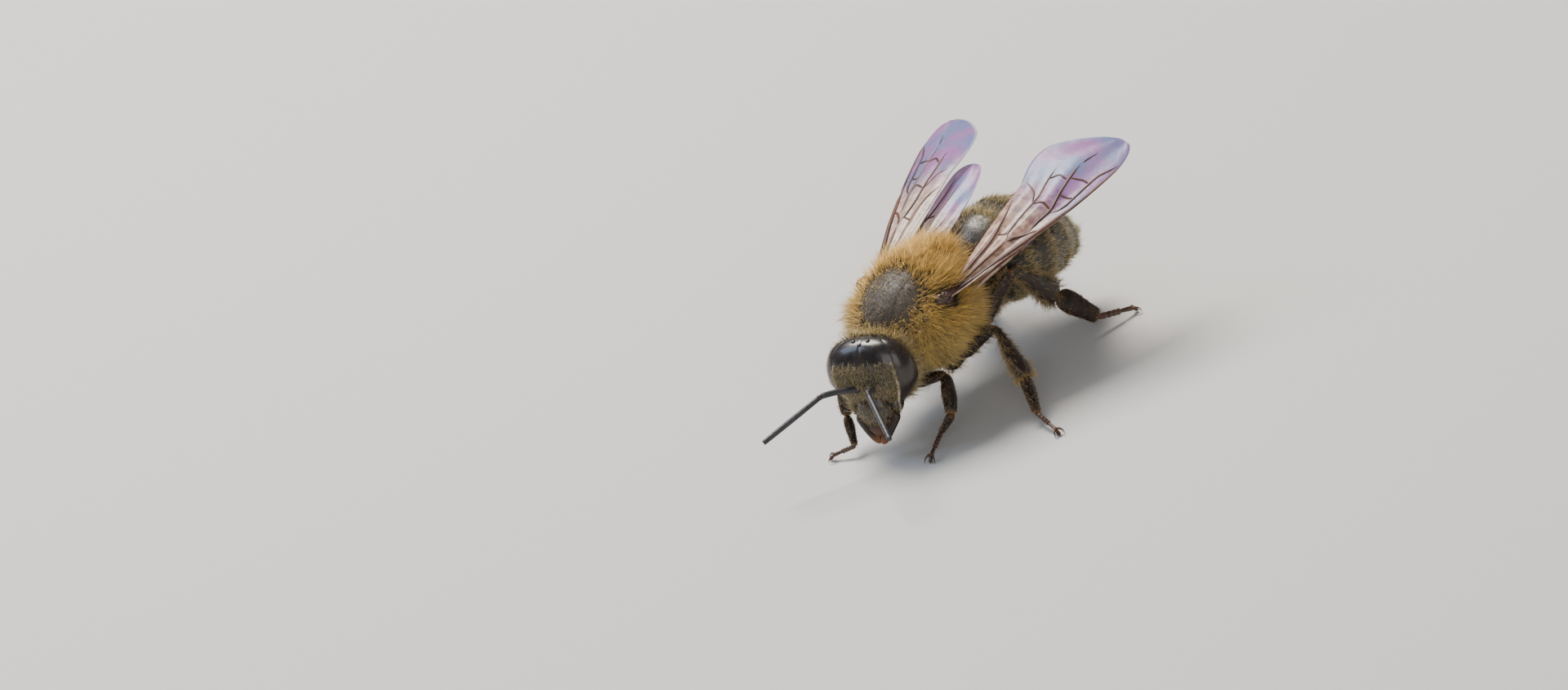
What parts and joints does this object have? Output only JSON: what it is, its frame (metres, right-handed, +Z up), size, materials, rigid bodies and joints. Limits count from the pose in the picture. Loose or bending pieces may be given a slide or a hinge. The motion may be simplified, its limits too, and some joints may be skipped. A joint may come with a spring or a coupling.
{
  "type": "honeybee",
  "caption": "Life-size still model of a worker honeybee standing on six feet, head turned to its left and wings half raised.",
  "frame": {"origin": "middle of the footprint, on the floor under the bee", "axes": "+Z up, +Y towards the tip of the abdomen, so the bee faces -Y and its left side is +X"},
  "size_m": [0.012, 0.0166, 0.0072],
  "materials": {
    "thorax_coat": "dense golden hair over dark shell",
    "head_shell": "dark brown horny shell, glossy on the crown, short hair on the face",
    "eye": "near-black compound eye, glossy, finely faceted",
    "face_shell": "olive-brown shell with short hair",
    "mouthparts": "reddish-brown horny jaws",
    "feeler": "black, finely downy",
    "wing_membrane": "thin amber membrane with brown veins and a faint iridescence",
    "abdomen_shell": "dark banded shell plates with pale hair bands",
    "leg_shell": "dark brown glossy shell with golden hair fringes",
    "foot": "reddish-brown foot segments",
    "body_shell": "dark brown shell"
  },
  "bodies": {
    "root": {"abdomen_1": "abdomen_shell", "abdomen_2": "abdomen_shell", "abdomen_3": "abdomen_shell", "abdomen_4": "abdomen_shell", "abdomen_5": "abdomen_shell", "abdomen_6": "abdomen_shell", "antenna_left_flagellum": "feeler", "antenna_left_scape": "feeler", "antenna_right_flagellum": "feeler", "antenna_right_scape": "feeler", "clypeus": "face_shell", "eye_left": "eye", "eye_right": "eye", "forewing_left": "wing_membrane", "forewing_right": "wing_membrane", "head": "head_shell", "hindwing_left": "wing_membrane", "hindwing_right": "wing_membrane", "labrum": "face_shell", "leg_front_left_basitarsus": "leg_shell", "leg_front_left_coxa": "leg_shell", "leg_front_left_femur": "leg_shell", "leg_front_left_tarsus": "foot", "leg_front_left_tibia": "leg_shell", "leg_front_right_basitarsus": "leg_shell", "leg_front_right_coxa": "leg_shell", "leg_front_right_femur": "leg_shell", "leg_front_right_tarsus": "foot", "leg_front_right_tibia": "leg_shell", "leg_hind_left_basitarsus": "leg_shell", "leg_hind_left_coxa": "leg_shell", "leg_hind_left_femur": "leg_shell", "leg_hind_left_tarsus": "foot", "leg_hind_left_tibia": "leg_shell", "leg_hind_right_basitarsus": "leg_shell", "leg_hind_right_coxa": "leg_shell", "leg_hind_right_femur": "leg_shell", "leg_hind_right_tarsus": "foot", "leg_hind_right_tibia": "leg_shell", "leg_middle_left_basitarsus": "leg_shell", "leg_middle_left_coxa": "leg_shell", "leg_middle_left_femur": "leg_shell", "leg_middle_left_tarsus": "foot", "leg_middle_left_tibia": "leg_shell", "leg_middle_right_basitarsus": "leg_shell", "leg_middle_right_coxa": "leg_shell", "leg_middle_right_femur": "leg_shell", "leg_middle_right_tarsus": "foot", "leg_middle_right_tibia": "leg_shell", "mandible_left": "mouthparts", "mandible_right": "mouthparts", "neck": "body_shell", "petiole": "body_shell", "proboscis": "mouthparts", "scutellum": "thorax_coat", "tegula_left": "body_shell", "tegula_right": "body_shell", "thorax": "thorax_coat"}
  },
  "joints": []
}
